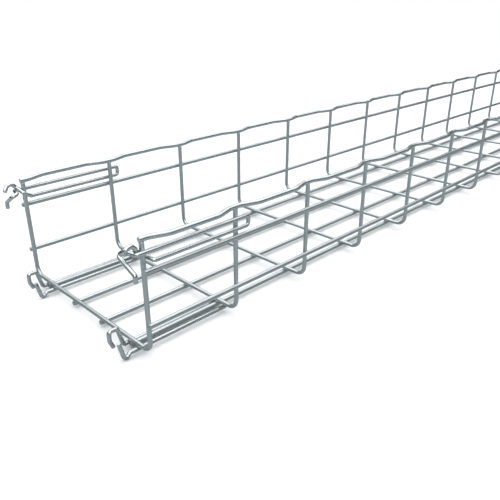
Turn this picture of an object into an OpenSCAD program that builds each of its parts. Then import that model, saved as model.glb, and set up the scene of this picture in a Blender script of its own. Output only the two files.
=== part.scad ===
// Welded wire mesh cable basket: one straight length with its snap couplings.
// X runs along the basket with the coupling end at -X, +Y is the left wall
// and +Z is up. The origin is under the middle, at the lowest point.

/* [Basket] */
// Distance from the first cross wire to the last
basket_l = 3000; // [600:100:3000]
// Clear width between the two walls
inner_w = 200; // [190:10:400]
// Depth from the top of the floor to the top of the edge wires
inner_h = 105; // [100:1:150]
// Distance between neighbouring cross wires
pitch = 100; // [60:10:200]
// Distance between neighbouring line wires in the floor
floor_pitch = 50; // [40:1:54]
// Number of line wires in the floor
floor_wires = 4; // [2:1:4]
// Height of the lower wall wires above the floor cross wires
wall_low = 28; // [22:1:30]
// Height of the upper wall wires above the lower ones
wall_rise = 50; // [40:1:50]

/* [Wires] */
// Diameter of the bent cross wires
cross_d = 4.4; // [3.5:0.1:5]
// Diameter of the line wires and edge wires
line_d = 4.8; // [3.5:0.1:5.5]
// Diameter of the coupling wires
coupling_d = 4; // [3:0.1:4.5]
// Inside radius of the cross wires' bends
corner_r = 12; // [6:1:16]
// How far two wires melt into each other at a weld
weld_sink = 0.2; // [0.1:0.05:0.4]
// How far the line wires and edge wires reach past the end cross wires
stub = 2.5; // [2:0.5:8]

/* [Edge wires] */
// Length of each stretch on top of a cross wire
edge_flat = 12; // [6:1:16]
// Length of each slanting stretch beside it
edge_ramp = 18; // [12:1:20]
// How far the edge wire swings out between the cross wires
edge_swing = 6; // [3:0.5:8]
// Radius of the edge wire's bends, along its centre
edge_bend_r = 20; // [10:1:26]

/* [Wall couplings] */
// Distance between the two legs, centre to centre
leg_gap = 9.4; // [9:0.1:12]
// Height of the lower leg above the upper wall wire
leg_rise = 7.5; // [6:0.5:9]
// How far the hairpin reaches past the second cross wire
hairpin_reach = 12; // [10:1:20]

/* [Floor couplings] */
// Distance of each catch from its floor line wire
catch_offset = 10; // [8:0.5:14]
// Depth of the catch's dip below its leg
dip = 3; // [1:0.5:5]

/* [Snap] */
// Clear width of the hook's arch, which takes the next basket's cross wire
mouth = 6; // [5:0.5:8]
// Height of the hook's arch above its leg, along the centre
hook_rise = 18.5; // [14:0.5:24]
// Distance of the arch from the first cross wire
mouth_reach = 15; // [12:0.5:20]
// How far each side of the hook leans, over its height
hook_lean = 3; // [2:0.5:4]
// Height of the hook's cut end above its leg
hook_end = 2; // [1:0.5:4]
// How far each side of the catch's dip leans, over its depth
catch_lean = 3; // [2:0.5:4]
// Height of the catch's tip above its leg
catch_rise = 14; // [10:0.5:18]
// Radius of the coupling wires' bends, along the centre
coupling_bend_r = 3; // [2.5:0.25:3]

/* [Hidden] */
$fn = 32;
// Sides of the swept wires, and the most that one step of a bend turns
edge_sides = 8;
coupling_sides = 12;
bend_step = 20;

cross_count = floor(basket_l / pitch) + 1;
run = (cross_count - 1) * pitch;
// Half the distance between the two legs of the hook's arch
hook_half = (mouth + coupling_d) / 2;
// The heads reach out past the first cross wire, and the origin is midway between both ends
head_out = mouth_reach + hook_half + coupling_d / 2;
first_x = (head_out - stub - run) / 2;
wall_y = (inner_w + cross_d) / 2;
bend_r = corner_r + cross_d / 2;
// Distance from a cross wire's centre out to a wire that is welded on its outer side
line_out = (cross_d + line_d) / 2 - weld_sink;
coupling_out = (cross_d + coupling_d) / 2;
// The basket stands on the dips of its catches
floor_z = coupling_out + dip + coupling_d / 2;
edge_z = floor_z + cross_d / 2 + inner_h - line_d / 2;
wall_zs = [floor_z + wall_low, floor_z + wall_low + wall_rise];

function unit(v) = v / norm(v);

// The arc that rounds corner i of a route: a place and a direction at each step
function rounded(p, i, r) =
  let (u = unit(p[i] - p[i - 1]), v = unit(p[i + 1] - p[i]), turn = acos(u * v),
       inward = cross(unit(cross(u, v)), u), start = p[i] - u * r * tan(turn / 2),
       steps = ceil(turn / bend_step))
  [for (k = [0 : steps]) let (a = turn * k / steps)
    [start + r * (sin(a) * u + (1 - cos(a)) * inward), cos(a) * u + sin(a) * inward]];

function centre_line(p, r) =
  let (last = len(p) - 1)
  concat([[p[0], unit(p[1] - p[0])]],
         [for (i = [1 : last - 1]) each rounded(p, i, r)],
         [[p[last], unit(p[last] - p[last - 1])]]);

// Any direction that no wire runs along, to start the rings from
askew = [0.1, 0.2, 1];
// Carries a sideways direction along, kept square to the next direction of the wire
function carried(side, along) = unit(side - (side * along) * along);

// A wire of diameter d along a route, with its corners rounded to radius r
module bent_wire(points, d, r, sides) {
  line = centre_line(points, r);
  rings = len(line);
  across = [for (i = 0, s = carried(askew, line[0][1]); i < rings;
                 i = i + 1, s = i < rings ? carried(s, line[i][1]) : s) s];
  skin = [for (i = [0 : rings - 1], k = [0 : sides - 1]) let (a = 360 * k / sides)
           line[i][0] + d / 2 * (cos(a) * across[i] + sin(a) * cross(line[i][1], across[i]))];
  walls = [for (i = [0 : rings - 2], k = [0 : sides - 1])
             let (a = i * sides + k, b = i * sides + (k + 1) % sides)
             each [[a, a + sides, b], [b, a + sides, b + sides]]];
  polyhedron(skin, concat([[for (k = [0 : sides - 1]) k]], walls,
                          [[for (k = [1 : sides]) rings * sides - k]]), convexity = 8);
}

// One U-shaped cross wire at x, with its ends under the edge wires
module cross_wire(x) {
  floor_half = wall_y - bend_r;
  translate([x, -floor_half, floor_z]) rotate([-90, 0, 0]) cylinder(d = cross_d, h = 2 * floor_half);
  for (side = [0, 1]) mirror([0, side, 0]) {
    translate([x, floor_half, floor_z + bend_r]) rotate([0, 90, 0])
      rotate_extrude(angle = 90) translate([bend_r, 0]) circle(d = cross_d);
    translate([x, wall_y, floor_z + bend_r])
      cylinder(d = cross_d, h = edge_z - line_d / 2 - floor_z - bend_r);
  }
}

// One straight line wire, the whole length of the basket
module line_wire(y, z) {
  translate([first_x - stub, y, z]) rotate([0, 90, 0]) cylinder(d = line_d, h = run + 2 * stub);
}

module welded_mesh() {
  color("silver") union() {
    for (i = [0 : cross_count - 1]) cross_wire(first_x + i * pitch);
    for (i = [0 : floor_wires - 1])
      line_wire((i - (floor_wires - 1) / 2) * floor_pitch, floor_z - line_out);
    for (side = [-1, 1], z = wall_zs) line_wire(side * (wall_y + line_out), z);
  }
}

// Edge wire: it sits on the ends of the cross wires and swings out between them
module edge_wire(side) {
  near = edge_flat / 2;
  far = near + edge_ramp;
  inside = side * wall_y;
  outside = side * (wall_y + edge_swing);
  swings = [for (i = [0 : cross_count - 2]) let (x = first_x + i * pitch)
             each [[x + near, inside, edge_z], [x + far, outside, edge_z],
                   [x + pitch - far, outside, edge_z], [x + pitch - near, inside, edge_z]]];
  bent_wire(concat([[first_x - stub, inside, edge_z]], swings,
                   [[first_x + run + stub, inside, edge_z]]),
            line_d, edge_bend_r, edge_sides);
}
module left_edge_wire() { color("silver") edge_wire(1); }
module right_edge_wire() { color("silver") edge_wire(-1); }

// The two heads of a floor snap, as [out, up] from where their legs pass the first cross wire:
// the hook is an arch over the next basket's cross wire, the catch a ramp under it
hook_near = mouth_reach - hook_half;
hook_far = mouth_reach + hook_half;
hook_head = [[hook_near - hook_lean, 0], [hook_near + hook_lean / 2, hook_rise], [hook_far, hook_rise],
             [hook_far, hook_rise / 2], [hook_far - hook_lean, hook_end]];
// The bottom of the dip is half a leaning side long
dip_near = hook_near + hook_lean;
dip_far = dip_near + catch_lean;
catch_head = [[dip_near - catch_lean, 0], [dip_near, -dip], [dip_far, -dip], [hook_far, catch_rise]];

// A floor leg with its head, at y; it starts under the second cross wire
module floor_coupling(y, head) {
  z = floor_z - coupling_out;
  start = [first_x + pitch + cross_d / 2, y, z];
  bent_wire(concat([start], [for (p = head) [first_x - p[0], y, z + p[1]]]),
            coupling_d, coupling_bend_r, coupling_sides);
}
// Each hook lies against the left side of an outer floor wire, and each catch on its right
outer_wire_y = (floor_wires - 1) / 2 * floor_pitch;
hook_offset = (line_d + coupling_d) / 2;
module left_floor_hook() { color("silver") floor_coupling(outer_wire_y + hook_offset, hook_head); }
module left_floor_catch() { color("silver") floor_coupling(outer_wire_y - catch_offset, catch_head); }
module right_floor_hook() { color("silver") floor_coupling(hook_offset - outer_wire_y, hook_head); }
module right_floor_catch() { color("silver") floor_coupling(-outer_wire_y - catch_offset, catch_head); }

// The wall snap's two heads, as [out, in, up] from where their legs pass the first cross wire.
// The hook turns in behind the next basket's leg and comes back down and out to its handle;
// the catch passes inside the cross wire and climbs over the hook's leg
wall_hook = [[8, 0, 0], [10.5, 12.5, 0], [16.5, 12.5, -2], [15, -6.5, -12.7], [15, -6.5, -19]];
wall_catch = [[-8, 0, 0], [-3, 9, 4], [3, 9, 8], [7, 2.5, 13.5], [11, 2.5, 17.5], [15.5, 2, 16],
              [19.5, 5.5, 12]];

// A wall coupling: one wire bent into a hairpin, with a head on each leg
module wall_coupling(side) {
  y = side * (wall_y + coupling_out);
  low = wall_zs[1] + leg_rise;
  high = low + leg_gap;
  back = first_x + pitch + hairpin_reach;
  hook = [for (i = [len(wall_hook) - 1 : -1 : 0]) let (p = wall_hook[i])
            [first_x - p[0], y - side * p[1], high + p[2]]];
  catch = [for (p = wall_catch) [first_x - p[0], y - side * p[1], low + p[2]]];
  bent_wire(concat(hook, [[back, y, high], [back, y, low]], catch),
            coupling_d, coupling_bend_r, coupling_sides);
}
module left_wall_coupling() { color("silver") wall_coupling(1); }
module right_wall_coupling() { color("silver") wall_coupling(-1); }

welded_mesh();
left_edge_wire();
right_edge_wire();
left_wall_coupling();
right_wall_coupling();
left_floor_hook();
left_floor_catch();
right_floor_hook();
right_floor_catch();
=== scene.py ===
import bpy
from math import acos, cos, pi, radians, sin, tan
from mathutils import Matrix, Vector


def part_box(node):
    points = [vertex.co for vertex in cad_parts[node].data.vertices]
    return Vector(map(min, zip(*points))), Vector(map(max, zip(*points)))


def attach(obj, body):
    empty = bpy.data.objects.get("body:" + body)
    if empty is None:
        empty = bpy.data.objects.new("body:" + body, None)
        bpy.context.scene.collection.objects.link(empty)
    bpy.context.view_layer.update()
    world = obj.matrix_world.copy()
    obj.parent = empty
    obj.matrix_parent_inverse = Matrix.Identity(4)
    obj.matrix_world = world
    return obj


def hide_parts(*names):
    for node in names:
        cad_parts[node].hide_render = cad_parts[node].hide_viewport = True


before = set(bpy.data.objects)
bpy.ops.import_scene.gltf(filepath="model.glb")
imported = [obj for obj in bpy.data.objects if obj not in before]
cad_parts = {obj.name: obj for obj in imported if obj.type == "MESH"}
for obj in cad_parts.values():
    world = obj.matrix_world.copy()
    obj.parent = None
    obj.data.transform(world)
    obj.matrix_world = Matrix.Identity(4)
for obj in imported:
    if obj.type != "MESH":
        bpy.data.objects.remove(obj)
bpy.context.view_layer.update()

# --------------------------------------------------------------- cross wires
# 31 drawn steel wires, each bent to a U and sheared off level at the top.
# They carry the line wires, resistance welded on their outer side.

def shader_group(name, inputs, outputs):
    """An empty shader group with its sockets: (name, kind, value)."""
    group = bpy.data.node_groups.new(name, "ShaderNodeTree")
    for label, kind, value in inputs:
        socket = group.interface.new_socket(label, in_out="INPUT", socket_type=kind)
        if value is not None:
            socket.default_value = value
    for label, kind in outputs:
        group.interface.new_socket(label, in_out="OUTPUT", socket_type=kind)
    return group, group.nodes.new("NodeGroupInput"), group.nodes.new("NodeGroupOutput")


def add(tree, kind, values=None, **settings):
    """A node with its settings and its unlinked inputs' values."""
    node = tree.nodes.new(kind)
    for key, value in settings.items():
        setattr(node, key, value)
    for key, value in (values or {}).items():
        node.inputs[key].default_value = value
    return node


def maths(tree, operation, a, b=None, c=None, clamp=False):
    """A maths node; each input is a number or a socket."""
    node = add(tree, "ShaderNodeMath", operation=operation, use_clamp=clamp)
    for socket, value in zip(node.inputs, (a, b, c)):
        if value is None:
            continue
        if isinstance(value, (int, float)):
            socket.default_value = value
        else:
            tree.links.new(value, socket)
    return node.outputs[0]


def mixed(tree, factor, a, b):
    """A colour mix; each input is a value or a socket."""
    node = add(tree, "ShaderNodeMix", data_type="RGBA")
    for index, value in ((0, factor), (6, a), (7, b)):
        if isinstance(value, bpy.types.NodeSocket):
            tree.links.new(value, node.inputs[index])
        else:
            node.inputs[index].default_value = value
    return node.outputs[2]


def rounded_route(points, radius, step=radians(9)):
    """The points of a route with each corner turned to an arc of that radius."""
    points = [Vector(p) for p in points]
    route = [points[0]]
    for a, b, c in zip(points, points[1:], points[2:]):
        u, v = (b - a).normalized(), (c - b).normalized()
        turn = acos(max(-1.0, min(1.0, u.dot(v))))
        start = b - u * radius * tan(turn / 2)
        inward = u.cross(v).normalized().cross(u)
        steps = max(2, int(turn / step) + 1)
        for k in range(steps + 1):
            angle = turn * k / steps
            route.append(start + radius * (sin(angle) * u + (1 - cos(angle)) * inward))
    return route + [points[-1]]


def cut_ends(route, worn):
    """Adds the points where the cut ends' worn rims begin."""
    first = route[0] + (route[1] - route[0]).normalized() * worn
    last = route[-1] + (route[-2] - route[-1]).normalized() * worn
    return [route[0], first] + route[1:-1] + [last, route[-1]]


def wire_tree():
    """The node tree that makes wires: a round bar swept along a route,
    repeated along a line, each with its own shade number."""
    tree = bpy.data.node_groups.new("swept_wire", "GeometryNodeTree")
    face = tree.interface
    face.new_socket("Geometry", in_out="INPUT", socket_type="NodeSocketGeometry")
    for label, kind in (("Diameter", "NodeSocketFloat"), ("Sides", "NodeSocketInt"),
                        ("Count", "NodeSocketInt"), ("Step", "NodeSocketVector"),
                        ("Seed", "NodeSocketInt"), ("Material", "NodeSocketMaterial")):
        face.new_socket(label, in_out="INPUT", socket_type=kind)
    face.new_socket("Geometry", in_out="OUTPUT", socket_type="NodeSocketGeometry")
    start, end = tree.nodes.new("NodeGroupInput"), tree.nodes.new("NodeGroupOutput")
    link = tree.links.new

    route = add(tree, "GeometryNodeStoreNamedAttribute", {"Name": "along"}, data_type="FLOAT")
    link(start.outputs["Geometry"], route.inputs["Geometry"])
    link(tree.nodes.new("GeometryNodeSplineParameter").outputs["Length"], route.inputs["Value"])

    section = tree.nodes.new("GeometryNodeCurvePrimitiveCircle")
    link(start.outputs["Sides"], section.inputs["Resolution"])
    link(maths(tree, "MULTIPLY", start.outputs["Diameter"], 0.5), section.inputs["Radius"])
    turned = add(tree, "GeometryNodeStoreNamedAttribute", {"Name": "around"}, data_type="FLOAT")
    link(section.outputs["Curve"], turned.inputs["Geometry"])
    link(tree.nodes.new("GeometryNodeSplineParameter").outputs["Factor"], turned.inputs["Value"])

    sweep = add(tree, "GeometryNodeCurveToMesh", {"Fill Caps": True})
    link(route.outputs["Geometry"], sweep.inputs["Curve"])
    link(turned.outputs["Geometry"], sweep.inputs["Profile Curve"])
    link(tree.nodes.new("GeometryNodeInputRadius").outputs["Radius"], sweep.inputs["Scale"])

    line = tree.nodes.new("GeometryNodeMeshLine")
    link(start.outputs["Count"], line.inputs["Count"])
    link(start.outputs["Step"], line.inputs["Offset"])
    copies = tree.nodes.new("GeometryNodeInstanceOnPoints")
    link(line.outputs["Mesh"], copies.inputs["Points"])
    link(sweep.outputs["Mesh"], copies.inputs["Instance"])
    chance = add(tree, "FunctionNodeRandomValue", data_type="FLOAT")
    link(start.outputs["Seed"], chance.inputs["Seed"])
    shade = add(tree, "GeometryNodeStoreNamedAttribute", {"Name": "shade"},
                data_type="FLOAT", domain="INSTANCE")
    link(copies.outputs["Instances"], shade.inputs["Geometry"])
    link(chance.outputs[1], shade.inputs["Value"])
    real = tree.nodes.new("GeometryNodeRealizeInstances")
    link(shade.outputs["Geometry"], real.inputs["Geometry"])
    paint = tree.nodes.new("GeometryNodeSetMaterial")
    link(real.outputs["Geometry"], paint.inputs["Geometry"])
    link(start.outputs["Material"], paint.inputs["Material"])
    link(paint.outputs["Geometry"], end.inputs["Geometry"])
    return tree


def baked(name, source, tree, **values):
    """Runs a node tree on an object and keeps only the plain mesh it makes."""
    modifier = source.modifiers.new("make", "NODES")
    modifier.node_group = tree
    for item in tree.interface.items_tree:
        key = item.name.lower()
        if item.item_type == "SOCKET" and item.in_out == "INPUT" and key in values:
            modifier[item.identifier] = values[key]
    bpy.context.view_layer.update()
    seen = source.evaluated_get(bpy.context.evaluated_depsgraph_get())
    mesh = bpy.data.meshes.new_from_object(seen)
    mesh.name = name
    piece = bpy.data.objects.new(name, mesh)
    bpy.context.scene.collection.objects.link(piece)
    bpy.data.objects.remove(source)
    return piece


def route_object(routes, worn=0.0003, worn_size=0.88):
    """A curve object with one open route a wire; each end is a little narrower."""
    curve = bpy.data.curves.new("route", "CURVE")
    curve.dimensions = "3D"
    for route in routes:
        route = cut_ends(route, worn)
        spline = curve.splines.new("POLY")
        spline.points.add(len(route) - 1)
        for point, place in zip(spline.points, route):
            point.co = (*place, 1.0)
            point.radius = 1.0
        spline.points[0].radius = spline.points[-1].radius = worn_size
    source = bpy.data.objects.new("route", curve)
    bpy.context.scene.collection.objects.link(source)
    return source


def smooth_sides(piece, sharp=radians(40)):
    """Round sides shade smooth, and cut faces keep their rim."""
    for polygon in piece.data.polygons:
        polygon.use_smooth = True
    piece.data.set_sharp_from_angle(angle=sharp)


swept_wire = wire_tree()


def wires(name, routes, diameter, material, count=1, step=(0, 0, 0), sides=24, seed=1):
    piece = baked(name, route_object(routes), swept_wire, diameter=diameter, sides=sides,
                  count=count, step=step, seed=seed, material=material)
    smooth_sides(piece)
    return piece


# the finish of every wire:
# Bright zinc plating over drawn steel wire, seen on every wire.
# The plating is satin, faintly blue green, with drawing lines and dull bloom.
def zinc_group():
    group, start, end = shader_group(
        "zinc_plating",
        [("Tint", "NodeSocketColor", (0.55, 0.58, 0.59, 1)), ("Bloom", "NodeSocketFloat", 0.35),
         ("Roughness", "NodeSocketFloat", 0.32)],
        [("Color", "NodeSocketColor"), ("Roughness", "NodeSocketFloat"), ("Height", "NodeSocketFloat")])
    link = group.links.new
    place = add(group, "ShaderNodeTexCoord").outputs["Object"]
    along = add(group, "ShaderNodeAttribute", attribute_name="along").outputs["Fac"]
    around = add(group, "ShaderNodeAttribute", attribute_name="around").outputs["Fac"]
    shade = add(group, "ShaderNodeAttribute", attribute_name="shade").outputs["Fac"]

    # fine lines left by the drawing die, long and thin along the wire
    ring = maths(group, "MULTIPLY", around, 2 * pi)
    lines_at = add(group, "ShaderNodeCombineXYZ")
    link(maths(group, "COSINE", ring), lines_at.inputs["X"])
    link(maths(group, "SINE", ring), lines_at.inputs["Y"])
    link(maths(group, "MULTIPLY_ADD", along, 6.0, maths(group, "MULTIPLY", shade, 40.0)),
         lines_at.inputs["Z"])
    lines = add(group, "ShaderNodeTexNoise", {"Scale": 9.0, "Detail": 3.0, "Roughness": 0.6})
    link(lines_at.outputs[0], lines.inputs["Vector"])

    # cloudy dull bloom of the passivated zinc
    bloom = add(group, "ShaderNodeTexNoise", {"Scale": 75.0, "Detail": 4.0, "Roughness": 0.55})
    link(place, bloom.inputs["Vector"])
    clouds = maths(group, "MULTIPLY_ADD", bloom.outputs["Fac"], 2.4, -0.7, clamp=True)
    spots = add(group, "ShaderNodeTexNoise", {"Scale": 620.0, "Detail": 2.0, "Roughness": 0.5})
    link(place, spots.inputs["Vector"])
    specks = maths(group, "MULTIPLY_ADD", spots.outputs["Fac"], 4.0, -2.1, clamp=True)

    tint = start.outputs["Tint"]
    dull = mixed(group, maths(group, "MULTIPLY", clouds, start.outputs["Bloom"]),
                 tint, (0.40, 0.45, 0.46, 1))
    cool = mixed(group, maths(group, "MULTIPLY", shade, 0.35), dull, (0.50, 0.56, 0.58, 1))
    lined = mixed(group, maths(group, "MULTIPLY", lines.outputs["Fac"], 0.22), cool, (0.72, 0.75, 0.76, 1))
    speckled = mixed(group, maths(group, "MULTIPLY", specks, 0.25), lined, (0.30, 0.33, 0.34, 1))
    link(speckled, end.inputs["Color"])

    rough = maths(group, "ADD", start.outputs["Roughness"], maths(group, "MULTIPLY", clouds, 0.12))
    rough = maths(group, "ADD", rough, maths(group, "MULTIPLY_ADD", lines.outputs["Fac"], 0.10, -0.05))
    link(maths(group, "ADD", rough, maths(group, "MULTIPLY", specks, 0.12), clamp=True),
         end.inputs["Roughness"])
    link(maths(group, "ADD", maths(group, "MULTIPLY", lines.outputs["Fac"], 0.6),
               maths(group, "MULTIPLY", spots.outputs["Fac"], 0.4)), end.inputs["Height"])
    return group


zinc = zinc_group()


def zinc_material(name, tint, bloom=0.35, roughness=0.27, relief=0.00002):
    material = bpy.data.materials.new(name)
    material.use_nodes = True
    tree = material.node_tree
    shader = next(n for n in tree.nodes if n.type == "BSDF_PRINCIPLED")
    shader.inputs["Metallic"].default_value = 1.0
    coat = add(tree, "ShaderNodeGroup", node_tree=zinc)
    coat.inputs["Tint"].default_value = tint
    coat.inputs["Bloom"].default_value = bloom
    coat.inputs["Roughness"].default_value = roughness
    bump = add(tree, "ShaderNodeBump", {"Strength": 0.5, "Distance": relief})
    tree.links.new(coat.outputs["Color"], shader.inputs["Base Color"])
    tree.links.new(coat.outputs["Roughness"], shader.inputs["Roughness"])
    tree.links.new(coat.outputs["Height"], bump.inputs["Height"])
    tree.links.new(bump.outputs["Normal"], shader.inputs["Normal"])
    return material


def stands_for(piece, slot, *nodes):
    """The piece is shown in place of these CAD nodes and rides on the one body."""
    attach(piece, "root")
    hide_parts(*nodes)


# read off the CAD nodes' boxes, so that wires lie where the solids lie
# x1 and x2 are the first and last cross wires
line_d, cross_d, coupling_d, sink = 0.0048, 0.0044, 0.0040, 0.0002
stub = 0.0025
mesh_low, mesh_high = (Vector(c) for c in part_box("welded_mesh"))
line_out = (cross_d + line_d) / 2 - sink
coupling_out = (cross_d + coupling_d) / 2
x1, x2 = mesh_low.x + stub, mesh_high.x - stub
bays = 30
pitch = (x2 - x1) / bays
wall_y = mesh_high.y - line_d / 2 - line_out
floor_z = mesh_low.z + line_d / 2 + line_out
edge_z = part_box("left_edge_wire")[1][2] - line_d / 2
wall_zs = (floor_z + 0.028, floor_z + 0.078)
floor_ys = (-0.075, -0.025, 0.025, 0.075)

mesh_zinc = zinc_material("mesh_zinc", (0.56, 0.59, 0.60, 1))
corner = 0.008 + cross_d / 2
top = edge_z - line_d / 2 + sink
u_shape = rounded_route([(x1, -wall_y, top), (x1, -wall_y, floor_z), (x1, wall_y, floor_z),
                         (x1, wall_y, top)], corner, radians(7))
cross_wires = wires("cross_wires", [u_shape], cross_d, mesh_zinc, bays + 1, (pitch, 0, 0), seed=11)
stands_for(cross_wires, "mesh_wire", "welded_mesh")

# ---------------------------------------------------------------- line wires
# Eight straight drawn wires, four under the floor and two outside each wall.
# They run the whole length and end just past the end cross wires.

def straight(y, z, x_from, x_to):
    return [Vector((x_from, y, z)), Vector((x_to, y, z))]


ends = (mesh_low.x, mesh_high.x)
line_routes = [straight(y, floor_z - line_out, *ends) for y in floor_ys]
line_routes += [straight(side * (wall_y + line_out), z, *ends) for side in (-1, 1) for z in wall_zs]
line_wires = wires("line_wires", line_routes, line_d, mesh_zinc, sides=28, seed=5)
stands_for(line_wires, "mesh_wire", "welded_mesh")

# ---------------------------------------------------------------- edge wires
# One wire along the top of each wall, welded to the cross wires' cut ends.
# It is bent to a wave: in over each cross wire and out between them.

edge_zinc = zinc_material("edge_zinc", (0.62, 0.65, 0.66, 1), roughness=0.22)

def wave(side):
    near, far, inside, outside = 0.006, 0.024, side * wall_y, side * (wall_y + 0.006)
    points = [(ends[0], inside, edge_z)]
    for bay in range(bays):
        x = x1 + bay * pitch
        points += [(x + near, inside, edge_z), (x + far, outside, edge_z),
                   (x + pitch - far, outside, edge_z), (x + pitch - near, inside, edge_z)]
    return rounded_route(points + [(ends[1], inside, edge_z)], 0.020, radians(5))


left_edge = wires("left_edge", [wave(1)], line_d, edge_zinc, sides=28, seed=21)
right_edge = wires("right_edge", [wave(-1)], line_d, edge_zinc, sides=28, seed=22)
stands_for(left_edge, "edge_wire", "left_edge_wire")
stands_for(right_edge, "edge_wire", "right_edge_wire")

# ------------------------------------------------------------ wall couplings
# A thinner, springy wire bent to a hairpin along the first bay of each wall,
# welded outside two cross wires, its two legs ending in the snap's heads.

coupling_zinc = zinc_material("coupling_zinc", (0.62, 0.64, 0.65, 1), bloom=0.25, roughness=0.20)
bend = 0.003
high_z = wall_zs[1] + 0.0075 + 0.0094
low_z = wall_zs[1] + 0.0075


# the wall heads as (out, in, up) from where each leg passes the first cross wire
wall_hook = [(8, 0, 0), (10.5, 12.5, 0), (16.5, 12.5, -2), (15, -6.5, -12.7), (15, -6.5, -19)]
wall_catch = [(-8, 0, 0), (-3, 9, 4), (3, 9, 8), (7, 2.5, 13.5), (11, 2.5, 17.5), (15.5, 2, 16),
              (19.5, 5.5, 12)]


def wall_coupling(side):
    y = side * (wall_y + coupling_out)
    back = x1 + pitch + 0.012

    def placed(head, z):
        return [(x1 - out / 1000, y - side * inward / 1000, z + up / 1000) for out, inward, up in head]

    return rounded_route(placed(wall_hook[::-1], high_z) + [(back, y, high_z), (back, y, low_z)]
                         + placed(wall_catch, low_z), bend)


left_coupling = wires("left_coupling", [wall_coupling(1)], coupling_d, coupling_zinc, seed=31)
right_coupling = wires("right_coupling", [wall_coupling(-1)], coupling_d, coupling_zinc, seed=32)
stands_for(left_coupling, "coupling_wire", "left_wall_coupling")
stands_for(right_coupling, "coupling_wire", "right_wall_coupling")

# ----------------------------------------------------------- floor couplings
# Two short wires under each side of the floor, welded to two cross wires.
# One ends in a tall hook, the other in a shallow dip with a raised tip.

leg_z = floor_z - coupling_out
leg_start = x1 + pitch + cross_d / 2


# distances of the hook's two sides past the first cross wire
near, far = 0.010, 0.020


def hook_head(out, up):
    return [(out(near - 0.003), up(0)), (out(near + 0.0015), up(0.0185)), (out(far), up(0.0185)),
            (out(far), up(0.00925)), (out(far - 0.003), up(0.002))]


def catch_head(out, up):
    return [(out(near), up(0)), (out(near + 0.003), up(-0.003)), (out(near + 0.006), up(-0.003)),
            (out(far), up(0.014))]


def floor_leg(y, head):
    points = [(leg_start, y, leg_z)]
    points += [(x, y, z) for x, z in head(lambda d: x1 - d, lambda d: leg_z + d)]
    return rounded_route(points, bend)


floor_nodes = {"left_floor_hook": hook_head, "left_floor_catch": catch_head,
               "right_floor_hook": hook_head, "right_floor_catch": catch_head}
floor_pieces = {}
for number, (node, head) in enumerate(floor_nodes.items()):
    node_low, node_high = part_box(node)
    y = (node_low[1] + node_high[1]) / 2
    floor_pieces[node] = wires(node.replace("_floor", "_floor_wire"), [floor_leg(y, head)],
                               coupling_d, coupling_zinc, seed=41 + number)
    stands_for(floor_pieces[node], "coupling_wire", node)

# ---------------------------------------------------------------- weld marks
# Where two wires were pressed and welded, a low bead of squeezed metal
# fills the crease between them, duller than the wire; its darker tint is
# partly the weld's own colour and partly painted shade in the crease.

# darker tint and heavier bloom of the beads: partly weld colour, partly painted contact shade between the
# wires
weld_zinc_and_crease_shade = zinc_material("weld_zinc_and_crease_shade", (0.45, 0.48, 0.49, 1), bloom=0.6, roughness=0.42, relief=0.00008)

def bead_tree():
    tree = bpy.data.node_groups.new("weld_beads", "GeometryNodeTree")
    face = tree.interface
    face.new_socket("Geometry", in_out="INPUT", socket_type="NodeSocketGeometry")
    face.new_socket("Size", in_out="INPUT", socket_type="NodeSocketFloat")
    face.new_socket("Seed", in_out="INPUT", socket_type="NodeSocketInt")
    face.new_socket("Material", in_out="INPUT", socket_type="NodeSocketMaterial")
    face.new_socket("Geometry", in_out="OUTPUT", socket_type="NodeSocketGeometry")
    start, end = tree.nodes.new("NodeGroupInput"), tree.nodes.new("NodeGroupOutput")
    link = tree.links.new
    ball = add(tree, "GeometryNodeMeshIcoSphere", {"Subdivisions": 3})
    link(start.outputs["Size"], ball.inputs["Radius"])
    lumps = add(tree, "ShaderNodeTexNoise", {"Scale": 500.0, "Detail": 1.0})
    push = add(tree, "ShaderNodeVectorMath", operation="SCALE")
    link(tree.nodes.new("GeometryNodeInputNormal").outputs[0], push.inputs[0])
    link(maths(tree, "MULTIPLY_ADD", lumps.outputs["Fac"], 0.0007, -0.00035), push.inputs["Scale"])
    lumpy = tree.nodes.new("GeometryNodeSetPosition")
    link(ball.outputs["Mesh"], lumpy.inputs["Geometry"])
    link(push.outputs[0], lumpy.inputs["Offset"])
    copies = tree.nodes.new("GeometryNodeInstanceOnPoints")
    link(start.outputs["Geometry"], copies.inputs["Points"])
    link(lumpy.outputs["Geometry"], copies.inputs["Instance"])
    across = add(tree, "GeometryNodeInputNamedAttribute", {"Name": "stretch"}, data_type="FLOAT_VECTOR")
    link(across.outputs["Attribute"], copies.inputs["Scale"])
    turn = add(tree, "FunctionNodeRandomValue", data_type="FLOAT")
    link(start.outputs["Seed"], turn.inputs["Seed"])
    shade = add(tree, "GeometryNodeStoreNamedAttribute", {"Name": "shade"},
                data_type="FLOAT", domain="INSTANCE")
    link(copies.outputs["Instances"], shade.inputs["Geometry"])
    link(turn.outputs[1], shade.inputs["Value"])
    real = tree.nodes.new("GeometryNodeRealizeInstances")
    link(shade.outputs["Geometry"], real.inputs["Geometry"])
    paint = tree.nodes.new("GeometryNodeSetMaterial")
    link(real.outputs["Geometry"], paint.inputs["Geometry"])
    link(start.outputs["Material"], paint.inputs["Material"])
    link(paint.outputs["Geometry"], end.inputs["Geometry"])
    return tree


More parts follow.
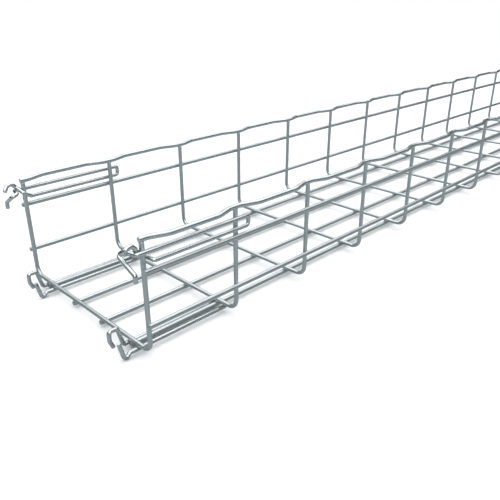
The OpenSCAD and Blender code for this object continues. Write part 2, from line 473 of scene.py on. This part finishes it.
crossings = []
for bay in range(bays + 1):
    x = x1 + bay * pitch
    crossings += [((x, y, floor_z - cross_d / 2), (1, 1, 0.42)) for y in floor_ys]
    for side in (-1, 1):
        crossings += [((x, side * (wall_y + cross_d / 2), z), (1, 0.42, 1)) for z in wall_zs]
        crossings.append(((x, side * wall_y, edge_z - line_d / 2), (1, 0.95, 0.4)))
for x in (x1, x1 + pitch):
    for side in (-1, 1):
        crossings += [((x, side * (wall_y + cross_d / 2), z), (0.9, 0.4, 0.9)) for z in (high_z, low_z)]
    for piece in floor_pieces.values():
        y = sum(v.co.y for v in piece.data.vertices) / len(piece.data.vertices)
        crossings.append(((x, y, floor_z - cross_d / 2), (0.9, 0.9, 0.4)))
points = bpy.data.meshes.new("crossings")
points.from_pydata([place for place, _ in crossings], [], [])
stretch = points.attributes.new("stretch", "FLOAT_VECTOR", "POINT")
for item, (_, scale) in zip(stretch.data, crossings):
    item.vector = scale
source = bpy.data.objects.new("crossings", points)
bpy.context.scene.collection.objects.link(source)
weld_beads = baked("weld_beads", source, bead_tree(), size=0.0021, seed=3, material=weld_zinc_and_crease_shade)
smooth_sides(weld_beads, radians(80))
stands_for(weld_beads, "mesh_wire", "welded_mesh")

# -------------------------------------------------------- floor and backdrop
# A pale smooth floor under the basket, which keeps its shadow, and a plain
# white backdrop that only the camera and shiny surfaces see.

def pale_floor():
    material = bpy.data.materials.new("pale_floor")
    material.use_nodes = True
    tree = material.node_tree
    shader = next(n for n in tree.nodes if n.type == "BSDF_PRINCIPLED")
    shader.inputs["Roughness"].default_value = 0.9
    shader.inputs["Specular IOR Level"].default_value = 0.1
    place = add(tree, "ShaderNodeTexCoord").outputs["Object"]
    grain = add(tree, "ShaderNodeTexNoise", {"Scale": 30.0, "Detail": 3.0})
    tree.links.new(place, grain.inputs["Vector"])
    pale = mixed(tree, grain.outputs["Fac"], (0.93, 0.93, 0.93, 1), (0.95, 0.95, 0.95, 1))
    rays = add(tree, "ShaderNodeLightPath")
    tree.links.new(mixed(tree, rays.outputs["Is Camera Ray"], (0.36, 0.39, 0.40, 1), pale),
                   shader.inputs["Base Color"])
    # far from the basket the floor runs out into the white of the backdrop
    split = add(tree, "ShaderNodeSeparateXYZ")
    tree.links.new(place, split.inputs[0])
    beside = maths(tree, "ABSOLUTE", split.outputs["Y"])
    fade = add(tree, "ShaderNodeMapRange", {"From Min": 0.2, "From Max": 0.7},
               interpolation_type="SMOOTHSTEP")
    tree.links.new(beside, fade.inputs["Value"])
    before = add(tree, "ShaderNodeMapRange", {"From Min": -1.6, "From Max": -2.0},
                 interpolation_type="SMOOTHSTEP")
    tree.links.new(split.outputs["X"], before.inputs["Value"])
    behind = add(tree, "ShaderNodeMapRange", {"From Min": 1.6, "From Max": 2.0},
                 interpolation_type="SMOOTHSTEP")
    tree.links.new(split.outputs["X"], behind.inputs["Value"])
    away = maths(tree, "MAXIMUM", fade.outputs["Result"], before.outputs["Result"])
    away = maths(tree, "MAXIMUM", away, behind.outputs["Result"])
    white = add(tree, "ShaderNodeEmission", {"Color": (1, 1, 1, 1), "Strength": 1.0})
    runs_out = add(tree, "ShaderNodeMixShader")
    tree.links.new(maths(tree, "MULTIPLY", away, rays.outputs["Is Camera Ray"]), runs_out.inputs[0])
    tree.links.new(shader.outputs[0], runs_out.inputs[1])
    tree.links.new(white.outputs[0], runs_out.inputs[2])
    out = next(n for n in tree.nodes if n.type == "OUTPUT_MATERIAL")
    tree.links.new(runs_out.outputs[0], out.inputs["Surface"])
    return material


floor_mesh = bpy.data.meshes.new("studio_floor")
half = 30.0
floor_mesh.from_pydata([(-half, -half, 0), (half, -half, 0), (half, half, 0), (-half, half, 0)],
                       [], [(0, 1, 2, 3)])
floor_mesh.materials.append(pale_floor())
studio_floor = bpy.data.objects.new("studio_floor", floor_mesh)
studio_floor.location.z = -0.0002
bpy.context.scene.collection.objects.link(studio_floor)

world = bpy.data.worlds.new("studio")
bpy.context.scene.world = world
world.use_nodes = True
sky = world.node_tree
for node in list(sky.nodes):
    sky.nodes.remove(node)
rays = add(sky, "ShaderNodeLightPath")
seen = maths(sky, "MAXIMUM", rays.outputs["Is Camera Ray"], rays.outputs["Is Transmission Ray"])
up = add(sky, "ShaderNodeTexCoord")
split = add(sky, "ShaderNodeSeparateXYZ")
sky.links.new(up.outputs["Generated"], split.inputs[0])
ramp = add(sky, "ShaderNodeValToRGB")
ramp.color_ramp.elements[0].position = 0.30
ramp.color_ramp.elements[0].color = (0.035, 0.045, 0.048, 1)
ramp.color_ramp.elements[1].position = 0.95
ramp.color_ramp.elements[1].color = (0.80, 0.83, 0.85, 1)
sky.links.new(split.outputs["Z"], ramp.inputs["Fac"])
background = add(sky, "ShaderNodeBackground", {"Strength": 1.0})
sky.links.new(mixed(sky, seen, ramp.outputs["Color"], (1, 1, 1, 1)), background.inputs["Color"])
sky.links.new(background.outputs[0], add(sky, "ShaderNodeOutputWorld").inputs["Surface"])

# -------------------------------------------------------------------- lights
# Large soft lights: one broad one overhead and weaker ones at the sides.

def soft_light(name, place, aim, size, power):
    data = bpy.data.lights.new(name, "AREA")
    data.shape = "RECTANGLE"
    data.size, data.size_y = size
    data.energy = power
    lamp = bpy.data.objects.new(name, data)
    lamp.location = place
    lamp.rotation_euler = (Vector(aim) - Vector(place)).to_track_quat("-Z", "Y").to_euler()
    bpy.context.scene.collection.objects.link(lamp)


soft_light("overhead", (-0.6, 0.2, 2.2), (-0.6, 0.0, 0.0), (7.0, 5.0), 125)
soft_light("front", (-2.4, -2.0, 1.2), (-1.2, 0.0, 0.05), (1.2, 0.5), 12)
soft_light("rear", (0.2, 2.4, 1.4), (-0.4, 0.0, 0.05), (3.0, 0.6), 8)

# -------------------------------------------------------------------- camera
# Three-quarter view from above the coupling end, along the basket.

camera = bpy.data.objects.new("camera", bpy.data.cameras.new("camera"))
camera.location = (x1 - 0.22275, -0.44513, floor_z + 0.28254)
aim = Vector((0.63901, 0.64227, -0.42327))
camera.rotation_euler = aim.to_track_quat("-Z", "Y").to_euler()
camera.data.lens = 40.93
camera.data.sensor_width = 36.0
camera.data.clip_start, camera.data.clip_end = 0.01, 100.0
bpy.context.scene.collection.objects.link(camera)
bpy.context.scene.camera = camera
bpy.context.scene.view_settings.view_transform = "Standard"
